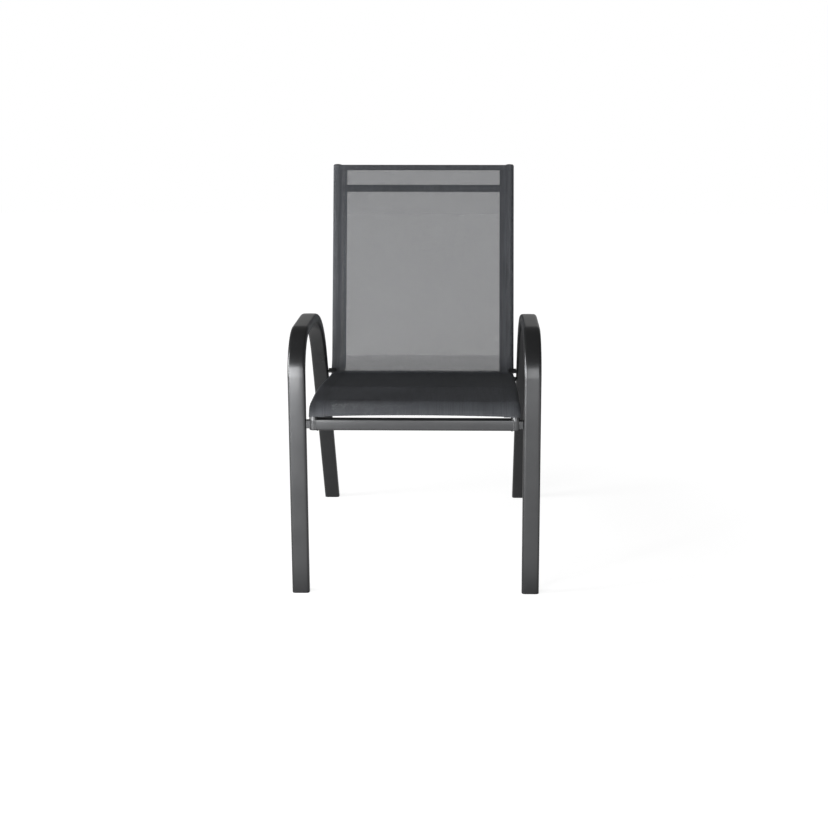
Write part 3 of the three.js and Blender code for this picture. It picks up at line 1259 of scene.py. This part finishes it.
@dataclass
class Sling:
    """One sheet of open mesh, with a sleeve sewn round each rail and a hem at both ends."""

    rails: SlingRails
    tubes: CrossTubes
    brackets: Brackets
    pitch: float = 1.0 * MM
    yarn_width: float = 0.545 * MM
    yarn_thickness: float = 0.44 * MM
    # How far warp and weft lie off the cloth's middle surface where they cross
    crossing: float = 0.088 * MM
    # From a rail's face to the cloth's middle surface
    middle_gap: float = 1.1 * MM
    # The band over each rail, from its outer edge to the seam, and the lap behind the web
    band: float = 38 * MM
    lap: float = 16.5 * MM
    # Between the middle surfaces of doubled cloth
    layer: float = 0.8 * MM
    front_hem: float = 34 * MM
    top_hem: float = 14 * MM
    # The front edge: how far round the rails' front bend it stops, and how it is cut back from there
    edge_turn: float = math.radians(16)
    edge_step: float = 1 * MM
    edge_bow: float = 2 * MM
    bow_fade: float = 90 * MM
    bow_points: int = 13
    # Openings for tubes and tabs, which reach this far round the rail from behind
    slot_clearance: float = 1.2 * MM
    slot_turn: float = math.radians(22)
    # The gap from a seam to a sleeve's weft yarns, as a share of the warp's pitch
    seam_gap_share: float = 0.1
    # Lengths over which a way is measured, and below which stops are one
    nudge: float = 0.2 * MM
    slack: float = 0.001 * MM
    arc_steps: int = 13
    step: float = math.radians(6)

    def __post_init__(self) -> None:
        """Lays out the cloth's section across the chair and its run along the rails."""
        path = self.rails.path
        self.start = float(path.ends[0]) + self.rails.waterfall_radius * self.edge_turn
        self.run = path.length - self.start
        self.stops = path.stops(self.step, self.start) - self.start
        self.height = self.rails.radius + self.middle_gap
        self.web = self.rails.across - (self.band - self.rails.radius - SLEEVE_REACH)
        self.warp_pitch = 2 * self.web / round(2 * self.web / self.pitch)
        self.section = self.lay_section()
        self.lengths = np.concatenate([[0.0], np.cumsum(np.abs(np.diff(self.section)))])
        self.wrap, self.unwrap = self.lengths[2], self.lengths[2 + self.arc_steps]
        self.lap_turn, self.end = self.lengths[-2:]

    def lay_section(self) -> Array:
        """Lays out the right half of the section, from the middle outwards.

        Returns:
            Its points: on the web, round the rail, and back behind the web to the seam.
        """
        centre = complex(self.rails.across, 0)
        lap_start = complex(self.web + self.lap, self.height - self.layer)
        lap_end = complex(self.web, self.height - self.layer)
        back = lap_start - centre
        lean = math.acos(self.height / abs(back))
        turn_end = math.degrees(cmath.phase(back) - 2 * math.pi + lean)
        wrap = arc(centre, self.height, 90, turn_end, self.arc_steps)
        web = (complex(0, self.height), complex(self.web, self.height))
        return np.array([*web, *wrap, lap_start, lap_end])

    def across(self, u: Array) -> tuple[Array, Array]:
        """Finds places on the section.

        Args:
            u: Lengths across the cloth from the middle, below zero to the left.

        Returns:
            The places and the outward ways there.
        """
        size = np.abs(u)
        points, ahead, behind = (
            np.interp(size + shift, self.lengths, self.section) for shift in (0, self.nudge, -self.nudge)
        )
        ways = 1j * (ahead - behind) / np.abs(ahead - behind)
        hand = np.where(u < 0, -1.0, 1.0)
        return points.real * hand + 1j * points.imag, ways.real * hand + 1j * ways.imag

    def along(self, u: Array, v: Array) -> Array:
        """Finds distances along the rails, with the web's front edge cut back in a bow.

        Args:
            u: Lengths across the cloth from the middle.
            v: Lengths along it from the front edge.

        Returns:
            The distances.
        """
        x = np.abs(u) / self.web
        bow = np.where(x <= 1, self.edge_step + self.edge_bow * (1 - x**2), 0)
        return self.start + v + bow * np.clip(1 - v / self.bow_fade, 0, 1) ** 2

    def place(self, u: "Array | float", v: "Array | float", lift: "Array | float") -> tuple[Array, Array]:
        """Finds points of the cloth.

        Args:
            u: Lengths across the cloth from the middle.
            v: Lengths along it from the front edge.
            lift: How far off the cloth's middle surface, outwards.

        Returns:
            The points and the ways they face.
        """
        u, v, lift = np.broadcast_arrays(u, v, lift)
        points, outs = self.across(u)
        points = points + outs * lift
        places, ways = self.rails.path.at(self.along(u, v))
        spots = in_space(points.real, places + 1j * ways * points.imag)
        return spots, in_space(outs.real, 1j * ways * outs.imag)

    def folded(self, u: float) -> tuple[Array, Array, Array]:
        """Lays one warp yarn: in under one hem, along the cloth and in under the other.

        Args:
            u: Its length across, from the middle.

        Returns:
            Lengths across and along, and how far off the cloth's middle surface each point lies.
        """
        fold = self.layer / 2
        inner = self.stops[(self.stops > fold * 2) & (self.stops < self.run - fold * 2)]
        under = inner[inner < self.front_hem][::-1]
        front = np.array([self.front_hem, *under, fold, 0.0])
        back = self.run - np.array([fold, 0.0, fold, self.top_hem])
        v = np.concatenate([front, [fold], inner, back])
        below = np.full(len(v), False)
        below[: len(front) - 1] = below[-2:] = True
        lift = np.where(below, -self.layer, 0.0)
        lift[len(front) - 1] = lift[-3] = -fold
        aside = self.warp_pitch / 2 * (1 if u < 0 else -1)
        return np.where(below, u + aside, u), v, lift

    def slots(self) -> list[tuple[float, float, float, float]]:
        """Lays out the openings in a sleeve, where the cross tubes and tabs reach the rail.

        Returns:
            Lengths across from and to, and along from and to, of each.
        """
        tube = self.tubes.radius + self.slot_clearance
        tab = self.brackets.tab_length / 2 + self.slot_clearance
        inner_turn = self.unwrap - self.height * self.slot_turn
        lap_end = self.lap_turn - self.slot_clearance
        wrap_start = self.wrap - self.brackets.tab_lap - self.slot_clearance
        top, rear = (self.tubes.spots[node] - self.start for node in ("top_crossbar", "rear_crossbar"))
        return [
            (inner_turn, lap_end, top - tube, top + tube),
            (inner_turn, lap_end, rear - tube, rear + tube),
            (wrap_start, inner_turn, rear - tab, rear + tab),
        ]

    def kept(self, stops: Array, gaps: Spans) -> list[Array]:
        """Splits a yarn where gaps are cut from it.

        Args:
            stops: Lengths along the yarn.
            gaps: The lengths from and to of each gap.

        Returns:
            The stops of each part that stays.
        """
        parts, left = [], stops
        for low, high in sorted(gaps):
            before = left[left < low - self.slack]
            if len(before):
                parts.append(np.append(before, low))
            left = np.insert(left[left > high + self.slack], 0, high)
        parts.append(left)
        return [part for part in parts if len(part) > 1]

    def warps(self, side: Side) -> Array:
        """Lays out the warp yarns of the web or of a sleeve.

        Those behind the web lie between those in front, as threads of doubled mesh settle.

        Args:
            side: The middle for the web, or a sleeve's side.

        Returns:
            Their lengths across.
        """
        pitch = self.warp_pitch
        if side is Side.MIDDLE:
            return np.arange(-self.web + pitch / 2, self.web, pitch)
        turn = (self.wrap + self.unwrap) / 2
        front = np.arange(self.web + pitch / 2, turn, pitch)
        back = np.arange(self.end, turn + pitch / 2, -pitch)[1:]
        return side * np.concatenate([front, back])

    def wefts(self) -> Spans:
        """Lays out the weft yarns.

        Returns:
            Their lengths along, and how far off the cloth's middle surface they lie.
        """
        rows = [(v, 0.0) for v in np.arange(self.pitch / 2, self.run, self.pitch)]
        under = np.arange(self.pitch, self.run - self.pitch / 4, self.pitch)
        hems = (under < self.front_hem) | (under > self.run - self.top_hem)
        return rows + [(v, -self.layer) for v in under[hems]]

    def net(self, side: Side) -> Lines:
        """Weaves the web or a sleeve.

        Args:
            side: The middle for the web, or a sleeve's side.

        Returns:
            The lines of its yarns.
        """
        net = Lines()
        slots = self.slots() if side else []
        for u in self.warps(side):
            gaps = [(c, d) for a, b, c, d in slots if a < abs(u) < b]
            if gaps:
                for v in self.kept(self.stops, gaps):
                    net.add(*self.place(u, v, self.crossing))
            else:
                across, v, lift = self.folded(u)
                net.add(*self.place(across, v, lift + self.crossing))
        if side:
            low = self.web + self.warp_pitch * self.seam_gap_share
            corners = self.lengths[(self.lengths > low) & (self.lengths < self.end)]
            bowed = straight = np.array([low, *corners, self.end])
        else:
            straight = np.array([-self.web, self.web])
            bowed = np.linspace(*straight, self.bow_points)
        for v, lift in self.wefts():
            gaps = [(a, b) for a, b, c, d in slots if c < v < d]
            for u in self.kept(bowed if v < self.bow_fade else straight, gaps):
                net.add(*self.place(u * (side or 1), v, lift - self.crossing))
        return net

    def build(self, yarn: Material) -> None:
        """Weaves the web and the sleeves.

        Args:
            yarn: Their finish.
        """
        tree = yarn_tree()
        sleeve = self.end - self.web
        sheets = (
            ("sling_web", Side.MIDDLE, 2 * self.web),
            ("sling_sleeve_left", Side.LEFT, sleeve),
            ("sling_sleeve_right", Side.RIGHT, sleeve),
        )
        for name, side, width in sheets:
            piece = self.net(side).piece(name)
            tree.work(piece, yarn, Width=self.yarn_width, Thickness=self.yarn_thickness)
            hand_over(piece, Slot.MESH, "sling")
            self.run + self.front_hem + self.top_hem


@dataclass
class Stitching:
    """Two rows of stitches along each seam and one along each hem, on both faces."""

    sling: Sling
    seam_rows: Numbers = (2 * MM, 6 * MM)
    hem_row: float = 2 * MM
    margin: float = 2.4 * MM
    hem_points: int = 25
    # How far off the cloth's middle surface a stitch starts, as a share of the yarn's thickness
    off_share: float = 0.6
    pitch: float = 4 * MM
    length: float = 3.1 * MM
    width: float = 0.5 * MM
    rise: float = 0.25 * MM

    def build(self, thread: Material) -> None:
        """Sews the seams and hems.

        Args:
            thread: The finish of the stitches.
        """
        sling = self.sling
        seam = np.array([self.margin, *sling.stops[1:-1], sling.run - self.margin])
        hem = np.linspace(-sling.web, sling.web, self.hem_points)
        rows = [(side * (sling.web + row), seam) for _, side in SIDES for row in self.seam_rows]
        hems = (sling.front_hem - self.hem_row, sling.run - sling.top_hem + self.hem_row)
        rows += [(hem, v) for v in hems]
        off = sling.yarn_thickness * self.off_share
        lines = Lines()
        for u, v in rows:
            for lift, hand in ((off, 1), (-sling.layer - off, -1)):
                points, ways = sling.place(u, v, lift)
                lines.add(points, ways * hand)
        piece = lines.piece("seam_stitches")
        sizes = {"Pitch": self.pitch, "Length": self.length, "Thread": self.width, "Rise": self.rise}
        hand_over(stitch_tree().work(piece, thread, **sizes), Slot.MESH)


@dataclass
class Welds:
    """Rippled beads round the cross tubes' ends, coated with the frame."""

    tubes: CrossTubes
    radius: float = 1.3 * MM
    ripple: float = 1.6 * MM

    def build(self, coat: Material) -> None:
        """Lays a bead round each end of each cross tube."""
        piece = self.tubes.joints.piece("weld_beads", closed=True)
        hand_over(bead_tree().work(piece, coat, Radius=self.radius, Ripple=self.ripple), Slot.COAT)


@dataclass(frozen=True)
class Lamp:
    """A soft lamp: its place, the point it is turned to, its width and height, and its watts."""

    name: str
    place: Numbers
    aim: Numbers
    size: Numbers
    power: float

    def hang(self) -> None:
        """Hangs the lamp."""
        data = bpy.data.lights.new(self.name, "AREA")
        data.shape = "RECTANGLE"
        data.size, data.size_y = self.size
        data.energy = self.power
        lamp = in_scene(self.name, data)
        lamp.location = self.place
        lamp.rotation_euler = (Vector(self.aim) - Vector(self.place)).to_track_quat("-Z", "Y").to_euler()


@dataclass
class Studio:
    """A plain pale floor, soft light and the camera."""

    lamps: tuple[Lamp, ...] = (
        Lamp("near_softbox", (-0.8, -1.9, 0.585), (-0.8, 0, 0.585), (0.9, 0.87), 23),
        Lamp("front_softbox", (0.55, -3.0, 0.65), (0.3, 0, 0.45), (1.2, 1.2), 17),
        Lamp("left_softbox", (-2.6, -0.9, 1.0), (0, 0, 0.45), (0.7, 1.6), 75),
        Lamp("front_strip", (-1.5, -1.95, 0.6), (-0.26, -0.35, 0.4), (0.25, 1.1), 20),
    )
    camera_place: Numbers = (0.1213, -3.2011, 1.1561)
    camera_pitch: float = math.radians(10.94)
    camera_yaw: float = math.radians(0.85)
    lens: float = 57.68
    shift: Numbers = (-0.0438, -0.1)
    floor_size: float = 16.0
    # The floor's own colour, as light and eye see it, and a painted shade: a darker colour that the coat
    # mirrors from the floor round the chair
    floor_pale: float = 0.8
    painted_floor_shade: float = 0.4
    # The glow laid over it, and how much of it shows to the eye, less near the chair
    floor_glow: float = 1.44
    floor_white: float = 0.69
    near_white: float = 0.86
    near_reach: Numbers = (0.5, 1.4)
    # How much of the glow the coat mirrors, less round the chair by painted shade, where the floor isn't
    # open in front
    floor_gleam: float = 0.7
    painted_shade_near_gleam: float = 0.2
    front_reach: Numbers = (0.35, 0.6)
    # The surroundings' light at eye level, how much weaker it is above, and the rise between
    eye_level: float = 0.38
    ceiling_drop: float = 0.25
    ceiling_rise: Numbers = (0.02, 0.45)

    def build(self) -> None:
        """Makes the floor, the surroundings, the lamps and the camera."""
        self.floor()
        self.surroundings()
        for lamp in self.lamps:
            lamp.hang()
        self.camera()

    def floor(self) -> None:
        """Makes the floor: white but for the chair's soft shadow.

        Its glow is weaker near the chair, so that the lamps' own light and the shadow show there. The
        coat mirrors a brighter floor from in front of the chair, and from round it a painted shade: there
        the floor's colour is darker and its glow weaker, for glossy rays only.
        """
        half = self.floor_size / 2
        mesh = bpy.data.meshes.new("studio_floor")
        mesh.from_pydata([(x * half, y * half, 0) for x, y in SQUARE], [], [(0, 1, 2, 3)])
        shader = Shader("pale_floor")
        apart = shader.add("ShaderNodeVectorMath", {0: shader.place()}, "Value", operation="LENGTH")
        ahead = 0 - shader.add("ShaderNodeSeparateXYZ", {"Vector": shader.place()}, "Y")
        camera, glossy, through = (shader.add("ShaderNodeLightPath", output=ray.value) for ray in Ray)
        far, front = apart.smooth_step(*self.near_reach), ahead.smooth_step(*self.front_reach)
        white = (self.near_white + far * (1 - self.near_white)) * self.floor_white
        # Painted shade in reflections: glossy rays see less of the floor's glow round the chair than in
        # front of it
        gleam = (self.painted_shade_near_gleam + front * (1 - self.painted_shade_near_gleam)) * self.floor_gleam
        share = (camera + through) * white + glossy * gleam
        # Painted shade in reflections: glossy rays see the floor's colour darker round the chair than in
        # front of it
        tone = shader.mixed(glossy * (1 - front), (self.floor_pale,) * 3, (self.painted_floor_shade,) * 3)
        plain = shader.add("ShaderNodeBsdfDiffuse", {"Color": tone})
        glow = shader.add("ShaderNodeEmission", {"Color": (1, 1, 1, 1), "Strength": self.floor_glow})
        mix = shader.add("ShaderNodeMixShader", {0: share.clamped(), 1: plain, 2: glow})
        mesh.materials.append(shader.close(mix))
        in_scene("studio_floor", mesh)

    def surroundings(self) -> None:
        """Makes the surroundings: white to the eye, and as light dimmer from above than at eye level."""
        world = bpy.data.worlds.new("studio")
        bpy.context.scene.world = world
        world.use_nodes = True
        bench = Bench(world.node_tree)
        way = bench.add("ShaderNodeTexCoord", output="Generated")
        rise = bench.add("ShaderNodeSeparateXYZ", {"Vector": way}, "Z")
        camera = bench.add("ShaderNodeLightPath", output=Ray.CAMERA.value)
        glow = self.eye_level - rise.smooth_step(*self.ceiling_rise) * self.ceiling_drop
        strength = camera + (1 - camera) * glow
        light = bench.add("ShaderNodeBackground", {"Color": (1, 1, 1, 1), "Strength": strength})
        bench.add("ShaderNodeOutputWorld", {"Surface": light})

    def camera(self) -> None:
        """Makes the camera, at the photograph's viewing angle."""
        data = bpy.data.cameras.new("camera")
        data.lens = self.lens
        data.shift_x, data.shift_y = self.shift
        camera = in_scene("camera", data)
        camera.location = self.camera_place
        camera.rotation_euler = (math.pi / 2 - self.camera_pitch, 0, self.camera_yaw)
        bpy.context.scene.camera = camera
        bpy.context.scene.view_settings.view_transform = "Standard"


def main() -> None:
    """Dresses the chair, piece by piece."""
    logging.basicConfig(level=logging.INFO, format="%(name)s: %(message)s")
    Studio().build()
    coat = PowderCoat().material()
    plastic = MouldedPlastic().material()
    frames = SideFrames()
    frames.build(coat)
    FootGlides(frames).build(plastic)
    rails = SlingRails()
    rails.build(coat, plastic)
    tubes = CrossTubes(rails)
    tubes.build(coat)
    brackets = Brackets(frames, rails, tubes)
    brackets.build(coat)
    Welds(tubes).build(coat)
    sling = Sling(rails, tubes, brackets)
    sling.build(CoatedYarn().material())
    Stitching(sling).build(SewingThread().material())


if __name__ == "__main__":
    main()
